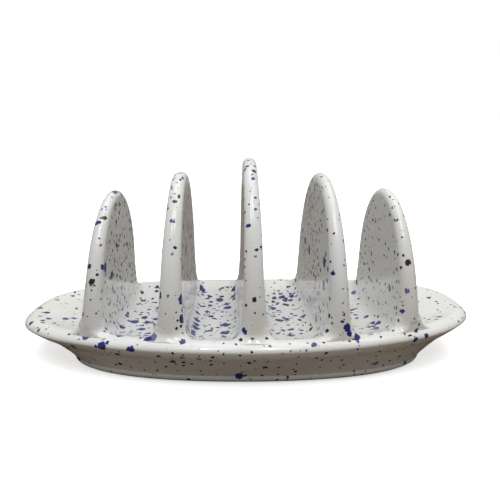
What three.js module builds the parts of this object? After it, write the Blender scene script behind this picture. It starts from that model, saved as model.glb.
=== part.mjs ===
// Ceramic toast rack: a boat-shaped tray with a rounded lip, standing on an unglazed foot ring,
// with five arched dividers across it.
//
// Millimetres, +Z up, +X along the rack. The origin is on the table, under the middle of the rack.

import * as THREE from 'three';

// Tray seen from above. Each outline is |x / halfLength|^powerX + |y / halfWidth|^powerY = 1, with
// its own curve in front (-Y) and at the back. The hand-formed rim is slimmer in front.
const RIM = {
  halfLength: 100,
  front: { halfWidth: 46.1, powerX: 1.78, powerY: 2.3 },
  back: { halfWidth: 46.1, powerX: 3.1, powerY: 3 },
};
const FOOT_CURVE = { halfWidth: 36.2, powerX: 2.1, powerY: 2.9 };
const FOOT = { halfLength: 78.3, front: FOOT_CURVE, back: FOOT_CURVE };

// Lip and bowl
const LIP_HEIGHT = 21;
const LIP_CREST_INSET = 5;
const LIP_OUTER_DROP = 3.1;
const TIP_RISE = { left: -1.9, right: 1.6 };
const BOWL_DEPTH = 5.8;
const BOWL_FLATNESS = 5;
const BOWL_SHOULDER = 1.35;

// Underside, from the lip's outer edge in to the foot: share of the way out, and height
const UNDERSIDE = [[1, 17.9], [0.97, 17.3], [0.8, 15.3], [0.5, 12.2], [0.2, 7.6], [0, 3.8]];
const UNDERSIDE_STEPS = 8;
const SIDE_BULGE = 0.13;

// Lower edge, foot ring and the recess inside it
const GLAZE_LINE = 0.9;
const FOOT_ROUNDING = 2;
const FOOT_RING_WIDTH = 5.2;
const FOOT_RING_HEIGHT = 3.4;
const FOOT_RING_BEVEL = 0.6;
const RECESS_EDGE = 3.8;
const RECESS_HEIGHT = 9;
const RECESS_SLOPE = 8;

// Dividers, from the left end to the right end. Each leans by so much in X for its rise in Z, is
// turned a little about the vertical, and stands in from the rim by its front and back gaps.
const DIVIDERS = [
  { x: -62.5, lean: 0.05, turn: -0.03, height: 74, thickness: 8, gaps: [2.5, 5.5], ridgeRadius: 3 },
  { x: -31.5, lean: 0.02, turn: 0, height: 82.5, thickness: 9.5, gaps: [4, 5], ridgeRadius: 2.5 },
  { x: 1.5, lean: -0.02, turn: 0.01, height: 89, thickness: 9, gaps: [4, 5], ridgeRadius: 2.5 },
  { x: 33.5, lean: -0.02, turn: 0.05, height: 82.5, thickness: 8.5, gaps: [2.5, 4], ridgeRadius: 3.5 },
  { x: 64, lean: -0.04, turn: 0.05, height: 75.5, thickness: 8, gaps: [2.5, 5.5], ridgeRadius: 3 },
];
const TOP_THICKNESS_SHARE = 0.62;
const ARCH = { powerY: 2.06, powerZ: 2.08 };
const SPREAD = 1.1;
const SPREAD_SHARE = 0.35;
const ROOT_RADIUS = 5;
const ROOT_LEVELS = [0, 0.6, 1.6, 3, 5.2];
const RIM_MARGIN = 2.2;
const SEAT_GAP = 0.45;
const SEAT_MARGIN = 2.6;

// Clearance between neighbouring solids, and how finely each piece is divided
const GAP = 0.35;
const TRAY_SEGMENTS = 72;
const RING_SEGMENTS = 64;
const ARCH_LEVELS = 11;
const ARCH_SIDE_STEPS = 14;

const GLAZE = { color: 0xe9e7e1, roughness: 0.15, metalness: 0 };
const BISQUE = { color: 0xcfc3b0, roughness: 0.85, metalness: 0 };


// ---- Outlines -------------------------------------------------------------------------------

function curveAt(outline, y) {
  return y < 0 ? outline.front : outline.back;
}

function halfWidthAt(outline, x, y) {
  const curve = curveAt(outline, y);
  const across = Math.max(1 - Math.abs(x / outline.halfLength) ** curve.powerX, 0);
  return curve.halfWidth * across ** (1 / curve.powerY);
}

// A point of an outline, and h, the distance from the centre to the tangent there. The point
// times (1 - inset / h) is the same outline moved in by the inset, with no cusp at the tips.
function outlinePoint(outline, turn) {
  const angle = turn * 2 * Math.PI;
  const x = outline.halfLength * Math.cos(angle);
  const side = Math.sin(angle);
  const y = Math.sign(side) * halfWidthAt(outline, x, side);
  return { x, y, h: tangentDistance(outline, x, y) };
}

function tangentDistance(outline, x, y) {
  const { halfLength } = outline;
  const { halfWidth, powerX, powerY } = curveAt(outline, y);
  const normal = new THREE.Vector2(
    powerX * Math.abs(x / halfLength) ** (powerX - 1) / halfLength,
    powerY * Math.abs(y / halfWidth) ** (powerY - 1) / halfWidth,
  ).normalize();
  return Math.abs(x) * normal.x + Math.abs(y) * normal.y;
}

function insetRing(outline, inset, height, segments) {
  return ring(segments, (turn) => {
    const edge = outlinePoint(outline, turn);
    const scale = 1 - inset / edge.h;
    return new THREE.Vector3(edge.x * scale, edge.y * scale, height);
  });
}

function ring(segments, pointAt) {
  return Array.from({ length: segments }, (_, i) => pointAt(i / segments));
}

// How far out a point lies: 0 at the centre and 1 on the outline
function shareOfOutline(outline, x, y) {
  const { halfWidth, powerX, powerY } = curveAt(outline, y);
  let low = 0;
  let high = 2;
  for (let i = 0; i < 40; i += 1) {
    const middle = (low + high) / 2;
    const reach = Math.abs(x / outline.halfLength / middle) ** powerX
      + Math.abs(y / halfWidth / middle) ** powerY;
    if (reach > 1) low = middle;
    else high = middle;
  }
  return high;
}


// ---- Closed bodies --------------------------------------------------------------------------

function bodyFrom(points, triangles) {
  const geometry = new THREE.BufferGeometry();
  geometry.setFromPoints(points);
  geometry.setIndex(triangles);
  geometry.computeVertexNormals();
  return geometry;
}

// Triangles between neighbouring rings of the same length. Rings run counter-clockwise seen
// from above and go from the top of the body outwards and down.
function bandTriangles(segments, lower, upper) {
  const triangles = [];
  for (let i = 0; i < segments; i += 1) {
    const j = (i + 1) % segments;
    triangles.push(upper + i, lower + i, lower + j, upper + i, lower + j, upper + j);
  }
  return triangles;
}

// A body that starts at a top point, runs down through the rings and ends at a bottom point
function poledBody(top, rings, bottom) {
  const segments = rings[0].length;
  const points = [top, ...rings.flat(), bottom];
  const triangles = [];
  const last = 1 + (rings.length - 1) * segments;
  for (let i = 0; i < segments; i += 1) {
    const j = (i + 1) % segments;
    triangles.push(0, 1 + i, 1 + j, points.length - 1, last + j, last + i);
  }
  for (let k = 1; k < rings.length; k += 1) {
    triangles.push(...bandTriangles(segments, 1 + k * segments, 1 + (k - 1) * segments));
  }
  return bodyFrom(points, triangles);
}

// A body whose rings close on each other, like a tyre
function tyreBody(rings) {
  const segments = rings[0].length;
  const triangles = rings.flatMap((_, k) => (
    bandTriangles(segments, ((k + 1) % rings.length) * segments, k * segments)
  ));
  return bodyFrom(rings.flat(), triangles);
}

// A body that starts at a top point, runs down through the rings and ends in a flat underside.
// Each ring goes out along one side and back along the other, so the underside is closed by
// strips from side to side.
function footedBody(top, rings) {
  const segments = rings[0].length;
  const points = [top, ...rings.flat()];
  const triangles = [];
  for (let i = 0; i < segments; i += 1) {
    triangles.push(0, 1 + i, 1 + (i + 1) % segments);
  }
  for (let k = 1; k < rings.length; k += 1) {
    triangles.push(...bandTriangles(segments, 1 + k * segments, 1 + (k - 1) * segments));
  }
  const base = 1 + (rings.length - 1) * segments;
  const across = (i) => base + (segments - i) % segments;
  for (let i = 0; i < segments / 2; i += 1) {
    if (i > 0) triangles.push(base + i, across(i), across(i + 1));
    if (i < segments / 2 - 1) triangles.push(base + i, across(i + 1), base + i + 1);
  }
  return bodyFrom(points, triangles);
}

function piece(name, geometry, finish) {
  const mesh = new THREE.Mesh(geometry, new THREE.MeshStandardMaterial(finish));
  mesh.name = name;
  return mesh;
}


// ---- Tray -----------------------------------------------------------------------------------

function tipRise(x) {
  const rise = x < 0 ? TIP_RISE.left : TIP_RISE.right;
  return rise * (x / RIM.halfLength) ** 2;
}

// Height of the tray's upper surface at a given inset from the rim outline
function trayHeight(inset, h, x) {
  const crest = LIP_HEIGHT + tipRise(x);
  if (inset < LIP_CREST_INSET) {
    const out = 1 - inset / LIP_CREST_INSET;
    return crest - LIP_OUTER_DROP * (1 - Math.sqrt(1 - out ** 2));
  }
  const towardsCrest = (h - inset) / (h - LIP_CREST_INSET);
  return crest - BOWL_DEPTH * (1 - towardsCrest ** BOWL_FLATNESS) ** BOWL_SHOULDER;
}

// Height of the surface that a divider stands on: the tray's, taken a little nearer to the lip so
// that flat facets clear the crest. Out over the lip it stays at the crest's height.
function seatHeight(x, y) {
  const share = shareOfOutline(RIM, x, y);
  if (share < 0.01) return LIP_HEIGHT - BOWL_DEPTH;
  const h = tangentDistance(RIM, x / share, y / share);
  return trayHeight(Math.max((1 - share) * h - SEAT_MARGIN, LIP_CREST_INSET), h, x);
}

function trayTopRing(insetAt) {
  return ring(TRAY_SEGMENTS, (turn) => {
    const edge = outlinePoint(RIM, turn);
    const inset = insetAt(edge.h);
    const scale = 1 - inset / edge.h;
    return new THREE.Vector3(edge.x * scale, edge.y * scale, trayHeight(inset, edge.h, edge.x * scale));
  });
}

// The long sides bulge outwards, and the overhanging tips don't.
function undersideRing(share, height) {
  const sideShare = share + SIDE_BULGE * Math.sin(Math.PI * share);
  return ring(TRAY_SEGMENTS, (turn) => {
    const rim = outlinePoint(RIM, turn);
    const foot = outlinePoint(FOOT, turn);
    return new THREE.Vector3(
      THREE.MathUtils.lerp(foot.x, rim.x, share),
      THREE.MathUtils.lerp(foot.y, rim.y, sideShare),
      height + share * tipRise(rim.x),
    );
  });
}

function tray() {
  const bowlShares = [0.15, 0.35, 0.52, 0.66, 0.77, 0.86, 0.93, 0.97, 1];
  const rings = bowlShares.map((share) => (
    trayTopRing((h) => h - share * (h - LIP_CREST_INSET))
  ));
  for (const degrees of [30, 60, 90]) {
    const inset = LIP_CREST_INSET * (1 - Math.sin(THREE.MathUtils.degToRad(degrees)));
    rings.push(trayTopRing(() => inset));
  }

  const slope = new THREE.SplineCurve(UNDERSIDE.map(([share, height]) => new THREE.Vector2(share, height)));
  for (const { x: share, y: height } of slope.getPoints(UNDERSIDE_STEPS).slice(1)) {
    rings.push(undersideRing(share, height));
  }

  const footEdge = UNDERSIDE.at(-1)[1];
  for (const degrees of [40, 65, 90]) {
    const angle = THREE.MathUtils.degToRad(degrees);
    const height = GLAZE_LINE + (footEdge - GLAZE_LINE) * (1 - Math.sin(angle));
    rings.push(insetRing(FOOT, FOOT_ROUNDING * (1 - Math.cos(angle)), height, TRAY_SEGMENTS));
  }

  const rebate = FOOT_RING_HEIGHT + GAP;
  const recess = FOOT_ROUNDING + 2 * GAP + FOOT_RING_WIDTH;
  rings.push(insetRing(FOOT, FOOT_ROUNDING, rebate, TRAY_SEGMENTS));
  rings.push(insetRing(FOOT, recess, RECESS_EDGE, TRAY_SEGMENTS));
  rings.push(insetRing(FOOT, recess + RECESS_SLOPE / 2, (RECESS_EDGE + 2 * RECESS_HEIGHT) / 3, TRAY_SEGMENTS));
  rings.push(insetRing(FOOT, recess + RECESS_SLOPE, RECESS_HEIGHT, TRAY_SEGMENTS));

  const floor = new THREE.Vector3(0, 0, LIP_HEIGHT - BOWL_DEPTH);
  return piece('tray', poledBody(floor, rings, new THREE.Vector3(0, 0, RECESS_HEIGHT)), GLAZE);
}

function footRing() {
  const outer = FOOT_ROUNDING + GAP;
  const inner = outer + FOOT_RING_WIDTH;
  const section = [
    [inner, FOOT_RING_HEIGHT],
    [outer, FOOT_RING_HEIGHT],
    [outer, FOOT_RING_BEVEL],
    [outer + FOOT_RING_BEVEL, 0],
    [inner - FOOT_RING_BEVEL, 0],
    [inner, FOOT_RING_BEVEL],
  ];
  const rings = section.map(([inset, height]) => insetRing(FOOT, inset, height, RING_SEGMENTS));
  return piece('foot_ring', tyreBody(rings), BISQUE);
}


// ---- Dividers -------------------------------------------------------------------------------

// The arch is |y / halfDepth|^powerY + (up / rise)^powerZ = 1, standing on the lip's height
function divider(name, { x: root, lean, turn, height, thickness, gaps, ridgeRadius }) {
  const rise = height - LIP_HEIGHT;
  const front = halfWidthAt(RIM, root, -1) - gaps[0];
  const back = halfWidthAt(RIM, root, 1) - gaps[1];
  const halfDepth = (front + back) / 2;
  const centre = (z) => new THREE.Vector2(root + lean * (z - LIP_HEIGHT), (back - front) / 2);

  const upShare = (z) => Math.max(z - LIP_HEIGHT, 0) / rise;
  const archHalfDepth = (z) => halfDepth * Math.max(1 - upShare(z) ** ARCH.powerZ, 0) ** (1 / ARCH.powerY);

  // Half the thickness at a point of the side face: tapered upwards, spread towards the root and
  // rounded to the ridge
  const halfThickness = (y, z) => {
    const up = upShare(z);
    const spread = SPREAD * Math.max(1 - up / SPREAD_SHARE, 0) ** 2;
    const full = thickness / 2 * THREE.MathUtils.lerp(1, TOP_THICKNESS_SHARE, up) + spread;
    const inside = 1 - Math.abs(y / halfDepth) ** ARCH.powerY - up ** ARCH.powerZ;
    const steepness = Math.hypot(
      ARCH.powerY * Math.abs(y / halfDepth) ** (ARCH.powerY - 1) / halfDepth,
      ARCH.powerZ * up ** (ARCH.powerZ - 1) / rise,
    );
    const depth = THREE.MathUtils.clamp(inside / steepness / ridgeRadius, 0, 1);
    return full * Math.sqrt(1 - (1 - depth) ** 2);
  };

  // One ring round the divider, out along its +X side from the front ridge to the back and home
  // along the other. heightAt gives each point's height, and flare widens the ring at the root,
  // but not past the rim.
  const sectionRing = (level, flare, heightAt) => ring(2 * ARCH_SIDE_STEPS, (turnShare) => {
    const along = turnShare < 0.5 ? 4 * turnShare - 1 : 3 - 4 * turnShare;
    const side = turnShare < 0.5 ? 1 : -1;
    const towardsRidge = 1 - (1 - Math.abs(along)) ** 2;
    const depth = Math.sign(along) * towardsRidge * archHalfDepth(level);
    const ridge = Math.abs(along) > 0.999 ? 0 : 1;
    const across = side * ridge * (halfThickness(depth, level) + flare);
    const point = new THREE.Vector2(across, depth * (1 + flare / halfDepth));
    point.rotateAround(new THREE.Vector2(), turn).add(centre(level));
    const limit = halfWidthAt(RIM, point.x, point.y) - RIM_MARGIN;
    const y = THREE.MathUtils.clamp(point.y, -limit, limit);
    return new THREE.Vector3(point.x, y, heightAt(point.x, y));
  });

  const rings = [];
  for (let i = 1; i <= ARCH_LEVELS; i += 1) {
    const share = i / ARCH_LEVELS;
    const level = THREE.MathUtils.lerp(height, LIP_HEIGHT + ROOT_RADIUS + 2, share ** 2);
    rings.push(sectionRing(level, 0, () => level));
  }
  for (const above of ROOT_LEVELS.toReversed()) {
    const flare = ROOT_RADIUS - Math.sqrt(ROOT_RADIUS ** 2 - Math.max(ROOT_RADIUS - SEAT_GAP - above, 0) ** 2);
    rings.push(sectionRing(LIP_HEIGHT, flare, (x, y) => seatHeight(x, y) + SEAT_GAP + above));
  }
  const top = new THREE.Vector3(centre(height).x, centre(height).y, height);
  return piece(name, footedBody(top, rings), GLAZE);
}


const toastRack = new THREE.Group();
toastRack.add(tray(), footRing());
DIVIDERS.forEach((shape, i) => toastRack.add(divider(`divider_${i + 1}`, shape)));

export default toastRack;
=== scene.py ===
"""Looks of the ceramic toast rack: a speckled, glossy glaze over a boat-shaped tray and five arched dividers.

Shapes are worked out in millimetres and turned into metres when a mesh is made. The frame gives the sizes
and places of all pieces; the constants below give the curves between them.
"""

import math

import bpy
import numpy as np
from mathutils import Matrix, Vector, noise

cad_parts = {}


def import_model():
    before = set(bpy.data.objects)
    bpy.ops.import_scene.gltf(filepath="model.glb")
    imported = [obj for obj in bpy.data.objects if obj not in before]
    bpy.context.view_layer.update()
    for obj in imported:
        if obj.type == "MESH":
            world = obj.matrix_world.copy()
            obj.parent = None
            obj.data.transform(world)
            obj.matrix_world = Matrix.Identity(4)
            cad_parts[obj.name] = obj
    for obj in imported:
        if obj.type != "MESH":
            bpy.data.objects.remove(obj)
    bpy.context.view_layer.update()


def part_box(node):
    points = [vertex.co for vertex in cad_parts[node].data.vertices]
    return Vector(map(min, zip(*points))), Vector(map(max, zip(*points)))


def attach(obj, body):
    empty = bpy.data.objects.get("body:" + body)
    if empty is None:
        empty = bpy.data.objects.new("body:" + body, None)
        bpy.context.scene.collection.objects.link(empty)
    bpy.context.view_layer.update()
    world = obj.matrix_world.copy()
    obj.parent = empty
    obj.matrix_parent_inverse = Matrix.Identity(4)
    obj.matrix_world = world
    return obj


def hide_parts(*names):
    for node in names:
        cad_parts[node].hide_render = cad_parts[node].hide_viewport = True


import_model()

MM = 0.001

# Plan outlines: |x / half_length| ** power_x + |y / half_width| ** power_y = 1.
# The rim is slimmer in front.
RIM_FRONT_POWERS = (1.78, 2.3)
RIM_BACK_POWERS = (3.1, 3.0)
FOOT_POWERS = (2.1, 2.9)

# Lip, bowl and underside of the tray
LIP_HEIGHT = 21.0
LIP_CREST_INSET = 5.0
LIP_OUTER_DROP = 3.1
TIP_RISE_LEFT = -1.9
TIP_RISE_RIGHT = 1.6
BOWL_DEPTH = 5.8
BOWL_FLATNESS = 5
BOWL_SHOULDER = 1.35
UNDERSIDE_SHARES = (1, 0.97, 0.8, 0.5, 0.2, 0)
UNDERSIDE_HEIGHTS = (17.9, 17.3, 15.3, 12.2, 7.6, 3.8)
SIDE_BULGE = 0.13
GLAZE_LINE = 0.9
FOOT_ROUNDING = 2.0
RECESS_EDGE = 3.8
RECESS_HEIGHT = 9
RECESS_SLOPE = 8
RING_CLEARANCE = 0.35

# Dividers. Each leans by so much in X for its rise in Z, is turned a little about the vertical, has its
# own thickness and roundness at the ridge, and stands in from the rim by its front and back gaps.
DIVIDERS = {
    "divider_1": {"lean": 0.05, "turn": -0.03, "thickness": 8, "gaps": (2.5, 5.5), "ridge_radius": 3},
    "divider_2": {"lean": 0.02, "turn": 0, "thickness": 9.5, "gaps": (4, 5), "ridge_radius": 2.5},
    "divider_3": {"lean": -0.02, "turn": 0.01, "thickness": 9, "gaps": (4, 5), "ridge_radius": 2.5},
    "divider_4": {"lean": -0.02, "turn": 0.05, "thickness": 8.5, "gaps": (2.5, 4), "ridge_radius": 3.5},
    "divider_5": {"lean": -0.04, "turn": 0.05, "thickness": 8, "gaps": (2.5, 5.5), "ridge_radius": 3},
}
ROOT_RIDGE_RADIUS = 4.2
TOP_THICKNESS_SHARE = 0.62
SPREAD = 1.1
SPREAD_SHARE = 0.35
ARCH_POWER_Y = 2.06
ARCH_POWER_Z = 2.08
SIDE_FILLET = 5.0
RIDGE_FILLET = 3.4
RIM_MARGIN = 2.2

# Hand-made unevenness of the clay: depth and length of its waves, and the seed that keeps them the same
WAVE_DEPTH = 0.18
WAVE_LENGTH = 26
WAVE_SEED = 1
noise.seed_set(WAVE_SEED)


# ---- Outlines -----------------------------------------------------------------------------------

class Outline:
    """A plan curve whose front half (y < 0) and back half have their own half width and powers."""

    def __init__(self, half_length, front, back):
        self.half_length = half_length
        self.front = front
        self.back = back

    def curve(self, y):
        """Half width, power_x and power_y on the side where each y lies."""
        return [np.where(y < 0, f, b) for f, b in zip(self.front, self.back)]

    def half_width_at(self, x, y):
        half_width, power_x, power_y = self.curve(y)
        across = np.maximum(1 - np.abs(x / self.half_length) ** power_x, 0)
        return half_width * across ** (1 / power_y)

    def tangent_distance(self, x, y):
        """Distance from the centre to the outline's tangent at each point of the outline."""
        half_width, power_x, power_y = self.curve(y)
        nx = power_x * np.abs(x / self.half_length) ** (power_x - 1) / self.half_length
        ny = power_y * np.abs(y / half_width) ** (power_y - 1) / half_width
        return (np.abs(x) * nx + np.abs(y) * ny) / np.hypot(nx, ny)

    def points(self, count):
        """Points once round the outline, counter-clockwise, with their tangent distances."""
        turn = np.arange(count) / count * 2 * math.pi
        x = self.half_length * np.cos(turn)
        y = np.sign(np.sin(turn)) * self.half_width_at(x, np.sin(turn))
        return x, y, self.tangent_distance(x, y)

    def share(self, x, y):
        """How far out a point lies, 0 at the centre and 1 on the outline, by bisection."""
        half_width, power_x, power_y = self.curve(y)
        low = np.zeros_like(x)
        high = np.full_like(x, 2.0)
        for _ in range(40):
            middle = (low + high) / 2
            reach = (np.abs(x / self.half_length / middle) ** power_x
                     + np.abs(y / half_width / middle) ** power_y)
            low = np.where(reach > 1, middle, low)
            high = np.where(reach > 1, high, middle)
        return high


def box_mm(node):
    low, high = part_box(node)
    return np.array(low) / MM, np.array(high) / MM


tray_low, tray_high = box_mm("tray")
_, ring_high = box_mm("foot_ring")
RING_INSET = FOOT_ROUNDING + RING_CLEARANCE
RING_WIDTH = 5.2
RING_HEIGHT = ring_high[2]
RIM = Outline(tray_high[0], (-tray_low[1], *RIM_FRONT_POWERS), (tray_high[1], *RIM_BACK_POWERS))
foot_curve = (ring_high[1] + RING_INSET, *FOOT_POWERS)
FOOT = Outline(ring_high[0] + RING_INSET, foot_curve, foot_curve)


# ---- Tray surface -------------------------------------------------------------------------------

def tip_rise(x):
    rise = np.where(x < 0, TIP_RISE_LEFT, TIP_RISE_RIGHT)
    return rise * (x / RIM.half_length) ** 2


def top_height(inset, h, x):
    """Height of the tray's upper surface at an inset from the rim outline."""
    crest = LIP_HEIGHT + tip_rise(x)
    out = np.clip(1 - inset / LIP_CREST_INSET, 0, 1)
    lip = crest - LIP_OUTER_DROP * (1 - np.sqrt(1 - out ** 2))
    towards_crest = np.clip((h - inset) / (h - LIP_CREST_INSET), 0, 1)
    bowl = crest - BOWL_DEPTH * (1 - towards_crest ** BOWL_FLATNESS) ** BOWL_SHOULDER
    return np.where(inset < LIP_CREST_INSET, lip, bowl)


def top_at(x, y):
    """Height of the tray's upper surface at points of the plan."""
    share = np.maximum(RIM.share(x, y), 1e-6)
    h = RIM.tangent_distance(x / share, y / share)
    h = np.where(np.hypot(x, y) < 0.01, tray_high[1], h)
    return top_height((1 - share) * h, h, x)


# ---- Meshes -------------------------------------------------------------------------------------

def unevenness(points):
    """Low waves over the whole rack, the same for every piece so that neighbours still meet."""
    shift = np.empty_like(points)
    for i, p in enumerate(points):
        shift[i] = noise.noise_vector(Vector(p) / WAVE_LENGTH)
    shift[:, 2] *= np.clip(points[:, 2] / 8, 0, 1)
    return points + WAVE_DEPTH * shift


def ring_faces(rings, count, closed=False):
    """Quads between neighbouring rings; rings go from the top of the body outwards and down."""
    faces = []
    for k in range(rings - (0 if closed else 1)):
        upper = k * count
        lower = (k + 1) % rings * count
        for i in range(count):
            j = (i + 1) % count
            faces.append((upper + i, lower + i, lower + j, upper + j))
    return faces


def make_mesh(name, points, faces, material):
    mesh = bpy.data.meshes.new(name)
    mesh.from_pydata([tuple(p) for p in points * MM], [], faces)
    mesh.validate()
    mesh.polygons.foreach_set("use_smooth", [True] * len(mesh.polygons))
    mesh.materials.append(material)
    mesh.update()
    piece = bpy.data.objects.new(name, mesh)
    bpy.context.scene.collection.objects.link(piece)
    return piece


def poled_piece(name, top, rings, bottom, material):
    """A closed body: a fan at the top point, bands of quads, and a fan at the bottom point."""
    count = len(rings[0])
    last = (len(rings) - 1) * count
    faces = ring_faces(len(rings), count)
    top_index = len(rings) * count
    for i in range(count):
        j = (i + 1) % count
        faces.append((top_index, i, j))
        faces.append((top_index + 1, last + j, last + i))
    points = np.vstack([np.vstack(rings), [top], [bottom]])
    return make_mesh(name, unevenness(points), faces, material)


def eased(count, low, high, power=1.0):
    """Numbers from low to high, closer together towards high when power is above 1."""
    return low + (high - low) * (1 - (1 - np.linspace(0, 1, count)) ** power)


# ---- Tray ---------------------------------------------------------------------------------------

TRAY_SEGMENTS = 384


def top_ring(share=None, inset=None):
    x, y, h = RIM.points(TRAY_SEGMENTS)
    if inset is None:
        inset = h - share * (h - LIP_CREST_INSET)
    scale = 1 - inset / h
    return np.stack([x * scale, y * scale, top_height(inset + 0 * h, h, x * scale)], 1)


def underside_ring(share, height):
    side_share = share + SIDE_BULGE * math.sin(math.pi * share)
    rim_x, rim_y, _ = RIM.points(TRAY_SEGMENTS)
    foot_x, foot_y, _ = FOOT.points(TRAY_SEGMENTS)
    x = foot_x + share * (rim_x - foot_x)
    y = foot_y + side_share * (rim_y - foot_y)
    return np.stack([x, y, height + share * tip_rise(rim_x)], 1)


def foot_ring_line(inset, height, count=TRAY_SEGMENTS):
    x, y, h = FOOT.points(count)
    scale = 1 - inset / h
    return np.stack([x * scale, y * scale, height + 0 * x], 1)


def smooth_curve(values, count):
    """A Catmull-Rom curve through the values, evenly stepped."""
    padded = [2 * values[0] - values[1], *values, 2 * values[-1] - values[-2]]
    result = []
    for t in np.linspace(0, len(values) - 1, count):
        k = min(int(t), len(values) - 2)
        f = t - k
        a, b, c, d = padded[k:k + 4]
        result.append(0.5 * (2 * b + (c - a) * f + (2 * a - 5 * b + 4 * c - d) * f ** 2
                             + (3 * b - a - 3 * c + d) * f ** 3))
    return result


def tray(material):
    rings = [top_ring(share=s) for s in eased(96, 0.01, 1, 1.5)]
    for angle in np.linspace(0, math.pi / 2, 16)[1:]:
        rings.append(top_ring(inset=LIP_CREST_INSET * (1 - math.sin(angle))))

    shares = smooth_curve(UNDERSIDE_SHARES, 40)
    heights = smooth_curve(UNDERSIDE_HEIGHTS, 40)
    for share, height in list(zip(shares, heights))[1:]:
        rings.append(underside_ring(share, height))

    wall_foot = UNDERSIDE_HEIGHTS[-1]
    for angle in np.linspace(0, math.pi / 2, 14)[1:]:
        height = GLAZE_LINE + (wall_foot - GLAZE_LINE) * (1 - math.sin(angle))
        rings.append(foot_ring_line(FOOT_ROUNDING * (1 - math.cos(angle)), height))

    recess = RING_INSET + RING_WIDTH + RING_CLEARANCE
    rings.append(foot_ring_line(FOOT_ROUNDING, (GLAZE_LINE + RECESS_EDGE) / 2))
    rings.append(foot_ring_line(FOOT_ROUNDING, RECESS_EDGE))
    rings.append(foot_ring_line(recess, RECESS_EDGE))
    for t in np.linspace(0, 1, 12)[1:]:
        ease = t * t * (3 - 2 * t)
        height = RECESS_EDGE + (RECESS_HEIGHT - RECESS_EDGE) * ease
        rings.append(foot_ring_line(recess + RECESS_SLOPE * t, height))

    floor = (0, 0, LIP_HEIGHT - BOWL_DEPTH)
    recess_top = (0, 0, RECESS_HEIGHT)
    piece = poled_piece("tray_glazed", floor, rings, recess_top, material)
    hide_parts("tray")
    return piece


def foot_ring(material):
    outer = RING_INSET
    inner = RING_INSET + RING_WIDTH
    middle = (outer + inner) / 2
    half = RING_WIDTH / 2
    rings = []
    for angle in np.linspace(0, 2 * math.pi, 32, endpoint=False):
        across = math.copysign(abs(math.cos(angle)) ** 0.35, math.cos(angle))
        up = math.copysign(abs(math.sin(angle)) ** 0.35, math.sin(angle))
        rings.append(foot_ring_line(middle + half * across, RING_HEIGHT / 2 * (1 + up), 192))
    points = np.vstack(rings)
    piece = make_mesh("foot_ring_bare", points, ring_faces(len(rings), 192, closed=True), material)
    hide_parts("foot_ring")
    return piece


# ---- Dividers -----------------------------------------------------------------------------------

ROUNDING_STEPS = 10
FACE_STEPS = 36
LEVELS = 64
LEVEL_CROWDING = 2.1
BLEND_ABOVE_FILLET = 4
BLEND_STEPS = 10
FILLET_STEPS = 14
FILLET_STEPS_BELOW = 2
HIDDEN_BASE_SHARE = (0.7, 0.96)
HIDDEN_BASE_DROP = 1.2


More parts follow.
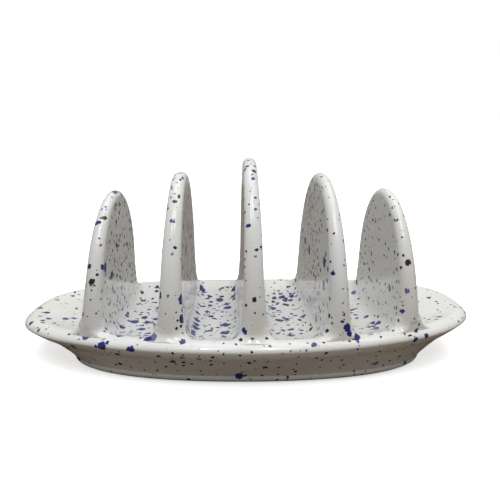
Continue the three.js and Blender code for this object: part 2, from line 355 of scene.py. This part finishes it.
class Divider:
    """One arched divider: its section at any height, and the fillet round its root."""

    def __init__(self, node):
        shape = DIVIDERS[node]
        low, high = box_mm(node)
        self.node = node
        self.root = (low[0] + high[0]) / 2
        self.height = high[2]
        self.rise = self.height - LIP_HEIGHT
        self.lean = shape["lean"]
        self.turn = shape["turn"]
        self.thickness = shape["thickness"]
        self.ridge_radius = shape["ridge_radius"]
        front = RIM.half_width_at(self.root, -1) - shape["gaps"][0]
        back = RIM.half_width_at(self.root, 1) - shape["gaps"][1]
        self.half_depth = (front + back) / 2
        self.middle = (back - front) / 2
        self.fractions, self.sides = self.section_steps()

    def section_steps(self):
        """Shares of the half depth once round the section, closer together at the ridges."""
        angles = np.linspace(0, math.pi / 2, ROUNDING_STEPS + 1)
        rounded = 1 - ROOT_RIDGE_RADIUS * (1 - np.cos(angles)) / self.half_depth
        straight = np.linspace(rounded[-1], -rounded[-1], FACE_STEPS + 1)[1:-1]
        out = -np.concatenate([rounded, straight, -rounded[::-1]])
        fractions = np.concatenate([out, out[-2:0:-1]])
        sides = np.concatenate([np.ones(len(out)), -np.ones(len(out) - 2)])
        return fractions, sides

    def arch_half_depth(self, z):
        up = np.clip((z - LIP_HEIGHT) / self.rise, 0, 1)
        return self.half_depth * (1 - up ** ARCH_POWER_Z) ** (1 / ARCH_POWER_Y)

    def half_thickness(self, y, z):
        up = np.clip((z - LIP_HEIGHT) / self.rise, 0, 1)
        full = self.thickness / 2 * (1 + (TOP_THICKNESS_SHARE - 1) * up)
        full = full + SPREAD * np.clip(1 - up / SPREAD_SHARE, 0, 1) ** 2
        radius = ROOT_RIDGE_RADIUS + (self.ridge_radius - ROOT_RIDGE_RADIUS) * np.clip(up * 2, 0, 1)
        out = np.abs(y / self.half_depth)
        inside = np.maximum(1 - out ** ARCH_POWER_Y - up ** ARCH_POWER_Z, 0)
        steepness = np.hypot(ARCH_POWER_Y * out ** (ARCH_POWER_Y - 1) / self.half_depth,
                             ARCH_POWER_Z * up ** (ARCH_POWER_Z - 1) / self.rise)
        depth = np.clip(inside / np.maximum(steepness, 1e-6) / radius, 0, 1)
        return full * np.sqrt(1 - (1 - depth) ** 2)

    def section(self, z):
        """Plan of the divider at heights z, one height for each point of the section."""
        along = self.fractions * self.arch_half_depth(z)
        across = self.sides * self.half_thickness(along, z)
        leaning = self.root + self.lean * (z - LIP_HEIGHT)
        x = leaning + across * math.cos(self.turn) - along * math.sin(self.turn)
        y = self.middle + along * math.cos(self.turn) + across * math.sin(self.turn)
        return x, y

    def outward(self, x, y):
        """Unit normals of a closed plan curve, pointing out."""
        dx = np.roll(x, -1) - np.roll(x, 1)
        dy = np.roll(y, -1) - np.roll(y, 1)
        length = np.maximum(np.hypot(dx, dy), 1e-9)
        return dy / length, -dx / length

    def rings(self):
        foot_x, foot_y = self.section(np.full(len(self.fractions), LIP_HEIGHT))
        nx, ny = self.outward(foot_x, foot_y)
        radius = SIDE_FILLET + (RIDGE_FILLET - SIDE_FILLET) * ny ** 2

        def fillet_ring(angle):
            """A ring of the root's fillet. Past a quarter turn it dips under the tray's surface."""
            out = radius * (1 - math.cos(angle))
            x = foot_x + nx * out
            y = foot_y + ny * out
            y = np.sign(y) * np.minimum(np.abs(y), RIM.half_width_at(x, y) - RIM_MARGIN)
            above = math.copysign(1 - math.sin(angle), math.pi / 2 - angle)
            return np.stack([x, y, top_at(x, y) + radius * above], 1)

        root = fillet_ring(0)
        blend_top = LIP_HEIGHT + SIDE_FILLET + BLEND_ABOVE_FILLET
        rings = []
        for t in np.linspace(0, 1, LEVELS + 1)[1:]:
            level = self.height + (blend_top - self.height) * t ** LEVEL_CROWDING
            z = np.full(len(self.fractions), level)
            rings.append(np.stack([*self.section(z), z], 1))
        top_of_root = rings[-1]
        for t in np.linspace(0, 1, BLEND_STEPS)[1:-1]:
            z = top_of_root[:, 2] * (1 - t) + root[:, 2] * t
            rings.append(np.stack([*self.section(z), z], 1))
        rings.append(root)
        step = math.pi / 2 / FILLET_STEPS
        rings += [fillet_ring(step * k) for k in range(1, FILLET_STEPS + FILLET_STEPS_BELOW + 1)]
        inner = rings[-1].copy()
        inner[:, 0] = self.root + (foot_x - self.root) * HIDDEN_BASE_SHARE[0]
        inner[:, 1] = self.middle + (foot_y - self.middle) * HIDDEN_BASE_SHARE[1]
        inner[:, 2] = top_at(inner[:, 0], inner[:, 1]) - HIDDEN_BASE_DROP
        rings.append(inner)
        return rings

    def build(self, material):
        rings = self.rings()
        count = len(self.fractions)
        half = count // 2
        faces = ring_faces(len(rings), count)
        base = (len(rings) - 1) * count
        top_index = len(rings) * count
        for i in range(count):
            faces.append((top_index, i, (i + 1) % count))
        for i in range(half):
            a, b = base + i, base + i + 1
            c, d = base + (count - i - 1) % count, base + (count - i) % count
            corners = [p for k, p in enumerate((a, d, c, b)) if p not in (a, d, c, b)[:k]]
            faces.append(tuple(corners))
        apex = (self.root + self.lean * self.rise, self.middle, self.height)
        points = np.vstack([np.vstack(rings), [apex]])
        piece = make_mesh(self.node + "_glazed", unevenness(points), faces, material)
        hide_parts(self.node)
        return piece


# ---- Materials ----------------------------------------------------------------------------------

class Nodes:
    """Short calls for building a material's node tree."""

    def __init__(self, name):
        self.material = bpy.data.materials.new(name)
        self.material.use_nodes = True
        self.tree = self.material.node_tree
        self.shader = self.tree.nodes["Principled BSDF"]

    def add(self, kind, **settings):
        node = self.tree.nodes.new(kind)
        for key, value in settings.items():
            setattr(node, key, value)
        return node

    def link(self, source, target):
        self.tree.links.new(source, target)

    def plug(self, node, socket, value):
        """Joins an output to a socket, or sets the socket's own value."""
        if isinstance(value, bpy.types.NodeSocket):
            self.link(value, node.inputs[socket])
        else:
            node.inputs[socket].default_value = value

    def math(self, operation, a, b=0.0):
        node = self.add("ShaderNodeMath", operation=operation)
        self.plug(node, 0, a)
        self.plug(node, 1, b)
        return node.outputs[0]

    def vector_math(self, operation, a, b):
        node = self.add("ShaderNodeVectorMath", operation=operation)
        self.plug(node, 0, a)
        self.plug(node, 1, b)
        return node.outputs[0]

    def noise(self, vector, size, detail=2.0, roughness=0.5):
        node = self.add("ShaderNodeTexNoise")
        self.plug(node, "Vector", vector)
        node.inputs["Scale"].default_value = 1 / (size * MM)
        node.inputs["Detail"].default_value = detail
        node.inputs["Roughness"].default_value = roughness
        return node

    def range(self, value, low, high, to_low=0.0, to_high=1.0, smooth=True):
        node = self.add("ShaderNodeMapRange", interpolation_type="SMOOTHSTEP" if smooth else "LINEAR")
        self.plug(node, "Value", value)
        self.plug(node, "From Min", low)
        self.plug(node, "From Max", high)
        self.plug(node, "To Min", to_low)
        self.plug(node, "To Max", to_high)
        return node.outputs["Result"]

    def mix(self, factor, a, b):
        node = self.add("ShaderNodeMix", data_type="RGBA")
        self.plug(node, "Factor", factor)
        for socket, value in ((6, a), (7, b)):
            if isinstance(value, bpy.types.NodeSocket):
                self.link(value, node.inputs[socket])
            else:
                node.inputs[socket].default_value = (*value, 1)
        return node.outputs[2]

    def place(self):
        return self.add("ShaderNodeTexCoord").outputs["Object"]


# Each pigment: its dark colour, its paler grains, and how much of it they take (less is more)
PIGMENTS = {
    "cobalt": ((0.010, 0.020, 0.17), (0.065, 0.10, 0.40), 0.53),
    "faded_cobalt": ((0.10, 0.13, 0.40), (0.36, 0.39, 0.58), 0.48),
    "iron": ((0.030, 0.015, 0.009), (0.12, 0.07, 0.04), 0.58),
    "faded_iron": ((0.20, 0.155, 0.115), (0.42, 0.37, 0.31), 0.48),
}
GLAZE_WHITE = (0.80, 0.805, 0.80)
GLAZE_WARM = (0.765, 0.755, 0.715)


def ragged(nodes, place, size, depth):
    """The place pushed about by noise, so that what is drawn with it gets ragged edges."""
    wobble = nodes.noise(place, size, detail=3, roughness=0.65)
    offset = nodes.vector_math("SUBTRACT", wobble.outputs["Color"], (0.5, 0.5, 0.5))
    scaled = nodes.add("ShaderNodeVectorMath", operation="SCALE")
    nodes.link(offset, scaled.inputs[0])
    scaled.inputs["Scale"].default_value = depth * MM
    return nodes.vector_math("ADD", place, scaled.outputs[0])


def speckles(nodes, place, radius, density, share, seed):
    """Irregular spots of glaze pigment, so many for each square millimetre of any surface.

    A spot is where the surface cuts a ball in the middle of a cell of a 3-D cell pattern, and only a share
    of the cells hold one. Gives each spot's strength.
    """
    cell = (share * 1.7 * radius / density) ** (1 / 3)
    moved = nodes.vector_math("ADD", place, (seed * 0.317, seed * 0.173, seed * 0.241))
    warped = ragged(nodes, moved, radius * 1.5, radius * 2.2)
    cells = nodes.add("ShaderNodeTexVoronoi", feature="F1")
    nodes.link(warped, cells.inputs["Vector"])
    cells.inputs["Scale"].default_value = 1 / (cell * MM)
    cells.inputs["Randomness"].default_value = 0.85
    split = nodes.add("ShaderNodeSeparateColor")
    nodes.link(cells.outputs["Color"], split.inputs[0])
    chosen = nodes.math("LESS_THAN", split.outputs[0], share)
    size = nodes.range(split.outputs[1], 0.0, 1.0, 0.55 * radius / cell, 1.25 * radius / cell, smooth=False)
    edge = nodes.math("SUBTRACT", size, cells.outputs["Distance"])
    spot = nodes.range(edge, 0.0, min(0.12 * radius + 0.04, 0.18) / cell)
    strength = nodes.range(split.outputs[2], 0.0, 0.25, 0.8, 1.0)
    return nodes.math("MULTIPLY", nodes.math("MULTIPLY", spot, chosen), strength)


# Pigment, radius in mm, spots for each square mm, share of the cells, seed
SPECKLE_LAYERS = (
    ("faded_cobalt", 0.45, 0.005, 0.5, 7.1),
    ("faded_iron", 0.45, 0.005, 0.5, 5.3),
    ("iron", 0.55, 0.010, 0.5, 8.9),
    ("cobalt", 0.65, 0.014, 0.5, 6.7),
    ("iron", 0.9, 0.0045, 0.5, 3.3),
    ("cobalt", 1.15, 0.007, 0.5, 2.9),
    ("cobalt", 1.9, 0.0010, 0.45, 1.7),
)
# More spots, run together and pooled, over the floor of the tray and the faces of the dividers
POOLED_LAYERS = (
    ("faded_iron", 0.7, 0.005, 0.5, 11.3),
    ("cobalt", 0.9, 0.018, 0.5, 12.9),
    ("iron", 0.85, 0.010, 0.5, 14.1),
)
# The widest spots, on the floor only
FLOOR_LAYERS = (
    ("iron", 1.4, 0.009, 0.5, 9.7),
    ("cobalt", 1.9, 0.016, 0.5, 10.3),
)
# The largest splashes on the front: pigment, radius and place in mm
SPLASHES = (
    ("cobalt", 1.5, (-62, -19, 63)),
    ("cobalt", 1.3, (-63.5, -28, 47)),
    ("iron", 1.6, (-62.5, -30, 41.5)),
    ("cobalt", 1.3, (-59, -27, 46.5)),
    ("cobalt", 1.1, (-31.5, -22, 73.5)),
    ("cobalt", 1.3, (-30.5, -28, 66)),
    ("iron", 1.0, (-31, -34, 56)),
    ("cobalt", 1.2, (1.5, -15, 84)),
    ("cobalt", 1.1, (-1, -12, 86)),
    ("iron", 1.0, (0, -24, 77)),
    ("cobalt", 1.0, (2, -36, 56)),
    ("cobalt", 1.1, (-2.5, -39, 45)),
    ("cobalt", 1.5, (-2.5, -41, 25)),
    ("iron", 1.0, (33, -30, 61)),
    ("cobalt", 1.1, (32, -36, 47)),
    ("cobalt", 1.8, (38, -40, 26)),
    ("iron", 1.4, (64, -28, 49)),
    ("cobalt", 1.2, (61.5, -32, 33)),
    ("cobalt", 1.5, (60, -33, 27)),
    ("cobalt", 1.9, (-58, -37, 17.5)),
    ("cobalt", 1.9, (-46.5, -41, 17.5)),
    ("cobalt", 1.8, (-40, -38, 21)),
    ("iron", 1.4, (-14.5, -45.5, 15.5)),
    ("iron", 1.5, (-3.5, -41, 21)),
    ("cobalt", 1.3, (24.5, -43, 20.5)),
    ("cobalt", 1.8, (42, -38.5, 21.5)),
    ("cobalt", 1.4, (67, -34, 18.5)),
    ("cobalt", 1.6, (62, -30, 21.5)),
    ("cobalt", 1.3, (-89, -14, 19)),
    ("cobalt", 1.5, (-91, -3, 19)),
)
# The box that holds the pooled spots, in mm, and how far a surface turns to count as a face or as floor
POOL_HALF_LENGTH = 69
POOL_HALF_WIDTH = 36
FACE_TURN = 0.72
FLOOR_TURN = 0.65


def pigment(nodes, place, name):
    """Pigment with the finer grains that show inside each spot."""
    dark, pale, thin = PIGMENTS[name]
    grain = nodes.noise(place, 0.8, detail=3, roughness=0.7)
    return nodes.mix(nodes.range(grain.outputs[0], thin, thin + 0.14), dark, pale)


def splashes(nodes, place, pigment_name):
    """Strength of all listed splashes of one pigment."""
    strength = 0.0
    for name, radius, centre in SPLASHES:
        if name != pigment_name:
            continue
        away = nodes.add("ShaderNodeVectorMath", operation="DISTANCE")
        nodes.link(place, away.inputs[0])
        away.inputs[1].default_value = [c * MM for c in centre]
        splash = nodes.range(away.outputs["Value"], (radius - 0.2) * MM, radius * MM, 1.0, 0.0)
        strength = nodes.math("MAXIMUM", splash, strength)
    return strength


def pooled_areas(nodes, place):
    """Two masks, 1 inside the lip: on the floor and the dividers' faces, and on the floor alone."""
    split = nodes.add("ShaderNodeSeparateXYZ")
    nodes.link(place, split.inputs[0])
    facing = nodes.add("ShaderNodeSeparateXYZ")
    nodes.link(nodes.add("ShaderNodeNewGeometry").outputs["Normal"], facing.inputs[0])
    face = nodes.math("GREATER_THAN", nodes.math("ABSOLUTE", facing.outputs[0]), FACE_TURN)
    level = nodes.math("GREATER_THAN", facing.outputs[2], FLOOR_TURN)
    within_x = nodes.math("LESS_THAN", nodes.math("ABSOLUTE", split.outputs[0]), POOL_HALF_LENGTH * MM)
    within_y = nodes.math("LESS_THAN", nodes.math("ABSOLUTE", split.outputs[1]), POOL_HALF_WIDTH * MM)
    inside = nodes.math("MULTIPLY", within_x, within_y)
    floor = nodes.math("MULTIPLY", level, inside)
    return nodes.math("MULTIPLY", nodes.math("MAXIMUM", face, level), inside), floor


def speckled_glaze():
    nodes = Nodes("speckled_glaze")
    place = nodes.place()
    cloud = nodes.noise(place, 38, detail=3)
    colour = nodes.mix(nodes.range(cloud.outputs[0], 0.35, 0.68), GLAZE_WHITE, GLAZE_WARM)
    colours = {name: pigment(nodes, place, name) for name in PIGMENTS}
    for name, radius, density, share, seed in SPECKLE_LAYERS:
        spot = speckles(nodes, place, radius, density, share, seed)
        colour = nodes.mix(spot, colour, colours[name])
    pooled, floor = pooled_areas(nodes, ragged(nodes, place, 2, 3))
    for area, layers in ((pooled, POOLED_LAYERS), (floor, FLOOR_LAYERS)):
        for name, radius, density, share, seed in layers:
            spot = speckles(nodes, place, radius, density, share, seed)
            colour = nodes.mix(nodes.math("MULTIPLY", spot, area), colour, colours[name])
    torn = ragged(nodes, place, 1.6, 2.4)
    for name in ("cobalt", "iron"):
        colour = nodes.mix(splashes(nodes, torn, name), colour, colours[name])
    nodes.link(colour, nodes.shader.inputs["Base Color"])

    smear = nodes.noise(place, 9, detail=4)
    nodes.link(nodes.range(smear.outputs[0], 0.3, 0.7, 0.12, 0.22), nodes.shader.inputs["Roughness"])

    swell = nodes.noise(place, 12, detail=1)
    dimple = nodes.noise(place, 2.2, detail=2)
    height = nodes.math("ADD", swell.outputs[0], nodes.math("MULTIPLY", dimple.outputs[0], 0.03))
    bump = nodes.add("ShaderNodeBump")
    bump.inputs["Strength"].default_value = 1.0
    bump.inputs["Distance"].default_value = 0.1 * MM
    nodes.link(height, bump.inputs["Height"])
    nodes.link(bump.outputs[0], nodes.shader.inputs["Normal"])
    nodes.shader.inputs["IOR"].default_value = 1.5
    return nodes.material


def bare_clay():
    nodes = Nodes("bare_clay")
    place = nodes.place()
    grain = nodes.noise(place, 0.7, detail=5, roughness=0.7)
    toast = nodes.noise(place, 14, detail=2)
    fired = nodes.mix(nodes.range(toast.outputs[0], 0.35, 0.65), (0.58, 0.50, 0.40), (0.50, 0.41, 0.31))
    colour = nodes.mix(nodes.range(grain.outputs[0], 0.55, 0.72), fired, (0.36, 0.27, 0.19))
    nodes.link(colour, nodes.shader.inputs["Base Color"])
    nodes.link(nodes.range(grain.outputs[0], 0.3, 0.7, 0.72, 0.92), nodes.shader.inputs["Roughness"])
    bump = nodes.add("ShaderNodeBump")
    bump.inputs["Strength"].default_value = 0.6
    bump.inputs["Distance"].default_value = 0.1 * MM
    nodes.link(grain.outputs[0], bump.inputs["Height"])
    nodes.link(bump.outputs[0], nodes.shader.inputs["Normal"])
    return nodes.material


# ---- Stage, lights and camera -------------------------------------------------------------------

FLOOR_COLOUR = (0.9, 0.9, 0.9)
TABLE_COLOUR = (0.115, 0.076, 0.045)
SKY_OVERHEAD = (0.87, 0.875, 0.87)
SKY_LOW_FRONT = (0.25, 0.235, 0.21)
SKY_LOW_BACK = (0.50, 0.495, 0.48)
SKY_STRENGTH = 0.75
OVERHEAD_POWER = 4.6
WINDOW_POWER = 2.9
WINDOW_COLOUR = (0.95, 0.98, 1.0)
WINDOW_X = (-0.24, 0.18)


def plain_material(name, colour, roughness):
    nodes = Nodes(name)
    nodes.shader.inputs["Base Color"].default_value = (*colour, 1)
    nodes.shader.inputs["Roughness"].default_value = roughness
    return nodes.material


def plane(name, x_range, y_range, height, material):
    mesh = bpy.data.meshes.new(name)
    left, right = x_range
    front, back = y_range
    corners = [(left, front, height), (right, front, height), (right, back, height), (left, back, height)]
    mesh.from_pydata(corners, [], [(0, 1, 2, 3)])
    mesh.materials.append(material)
    piece = bpy.data.objects.new(name, mesh)
    bpy.context.scene.collection.objects.link(piece)
    return piece


def stage():
    """A pale floor for the camera, and a warm table top that only lights and reflections see."""
    pale = plain_material("pale_floor", FLOOR_COLOUR, 0.9)
    shader = pale.node_tree.nodes["Principled BSDF"]
    shader.inputs["Emission Color"].default_value = (1, 1, 1, 1)
    shader.inputs["Emission Strength"].default_value = 0.6
    floor = plane("floor", (-30, 30), (-30, 30), -0.0002, pale)
    floor.visible_glossy = False
    floor.visible_diffuse = False
    floor.visible_shadow = False
    table = plane("table_bounce", (-0.9, 0.9), (-0.9, 0.7), -0.0004,
                  plain_material("warm_table", TABLE_COLOUR, 0.6))
    table.visible_camera = False


def area_light(name, place, target, size, power, colour=(1, 1, 1)):
    light = bpy.data.lights.new(name, "AREA")
    light.shape = "RECTANGLE"
    light.size, light.size_y = size
    light.energy = power
    light.color = colour
    lamp = bpy.data.objects.new(name, light)
    lamp.location = place
    lamp.rotation_euler = (Vector(target) - Vector(place)).to_track_quat("-Z", "Y").to_euler()
    bpy.context.scene.collection.objects.link(lamp)
    return lamp


def world():
    """Even white for the camera, and a dimmer sky for light and reflections.

    The sky is brightest overhead, and low down it is darker in front than at the back.
    """
    studio = bpy.data.worlds.new("studio")
    bpy.context.scene.world = studio
    studio.use_nodes = True
    tree = studio.node_tree
    dim = tree.nodes["Background"]
    place = tree.nodes.new("ShaderNodeTexCoord")
    split = tree.nodes.new("ShaderNodeSeparateXYZ")
    up = tree.nodes.new("ShaderNodeMapRange")
    sky = tree.nodes.new("ShaderNodeMix")
    sky.data_type = "RGBA"
    low_down = tree.nodes.new("ShaderNodeMix")
    low_down.data_type = "RGBA"
    low_down.inputs[6].default_value = (*SKY_LOW_FRONT, 1)
    low_down.inputs[7].default_value = (*SKY_LOW_BACK, 1)
    back = tree.nodes.new("ShaderNodeMapRange")
    back.inputs["From Min"].default_value = -0.5
    back.inputs["From Max"].default_value = 0.7
    sky.inputs[7].default_value = (*SKY_OVERHEAD, 1)
    white = tree.nodes.new("ShaderNodeBackground")
    white.inputs[0].default_value = (1, 1, 1, 1)
    ray = tree.nodes.new("ShaderNodeLightPath")
    choose = tree.nodes.new("ShaderNodeMixShader")
    tree.links.new(place.outputs["Generated"], split.inputs[0])
    tree.links.new(split.outputs[2], up.inputs["Value"])
    tree.links.new(up.outputs[0], sky.inputs["Factor"])
    tree.links.new(split.outputs[1], back.inputs["Value"])
    tree.links.new(back.outputs[0], low_down.inputs["Factor"])
    tree.links.new(low_down.outputs[2], sky.inputs[6])
    tree.links.new(sky.outputs[2], dim.inputs[0])
    tree.links.new(ray.outputs["Is Camera Ray"], choose.inputs[0])
    tree.links.new(dim.outputs[0], choose.inputs[1])
    tree.links.new(white.outputs[0], choose.inputs[2])
    tree.links.new(choose.outputs[0], tree.nodes["World Output"].inputs[0])
    dim.inputs[1].default_value = SKY_STRENGTH


def lights():
    """A soft panel overhead, and two tall windows in front."""
    middle = (0, 0, 0.04)
    area_light("overhead", (0.15, 0.1, 1.1), middle, (1.0, 0.8), OVERHEAD_POWER)
    for x in WINDOW_X:
        area_light("window", (x, -0.65, 1.05), middle, (0.15, 0.5), WINDOW_POWER, WINDOW_COLOUR)


# Places in mm, angles in radians, the lens in mm of focal length, and the shifts in widths of the picture
CAMERA_BACK = 234
CAMERA_UP = 104
CAMERA_ASIDE = 1.3
CAMERA_FORWARD = 2.8
CAMERA_PITCH = 0.186
CAMERA_TURN = 0.032
CAMERA_ROLL = -0.009
LENS = 38.6
SHIFT_X = -0.003
SHIFT_Y = -0.052
SENSOR = 36


def camera():
    turned = Matrix.Rotation(-CAMERA_TURN, 3, "Z")
    place = turned @ Vector((CAMERA_ASIDE, -CAMERA_BACK, CAMERA_UP)) - Vector((0, CAMERA_FORWARD, 0))
    level = Vector((1, 0, 0))
    ahead = Vector((0, math.cos(CAMERA_PITCH), -math.sin(CAMERA_PITCH)))
    upward = Vector((0, math.sin(CAMERA_PITCH), math.cos(CAMERA_PITCH)))
    right = level * math.cos(CAMERA_ROLL) - upward * math.sin(CAMERA_ROLL)
    up = level * math.sin(CAMERA_ROLL) + upward * math.cos(CAMERA_ROLL)
    axes = Matrix((turned @ right, turned @ up, turned @ -ahead)).transposed().to_4x4()

    data = bpy.data.cameras.new("camera")
    data.sensor_width = SENSOR
    data.lens = LENS
    data.shift_x = SHIFT_X
    data.shift_y = SHIFT_Y
    data.clip_start = 0.01
    data.clip_end = 50
    view = bpy.data.objects.new("camera", data)
    view.matrix_world = Matrix.Translation(place * MM) @ axes
    bpy.context.scene.collection.objects.link(view)
    bpy.context.scene.camera = view
    bpy.context.scene.view_settings.view_transform = "Standard"


# ---- The scene ----------------------------------------------------------------------------------

camera()
world()
lights()
stage()

glaze = speckled_glaze()
clay = bare_clay()

pieces = [(tray(glaze), "speckled_glaze"), (foot_ring(clay), "bare_clay")]
for number in range(1, 6):
    pieces.append((Divider(f"divider_{number}").build(glaze), "speckled_glaze"))
for piece, slot in pieces:
    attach(piece, "root")
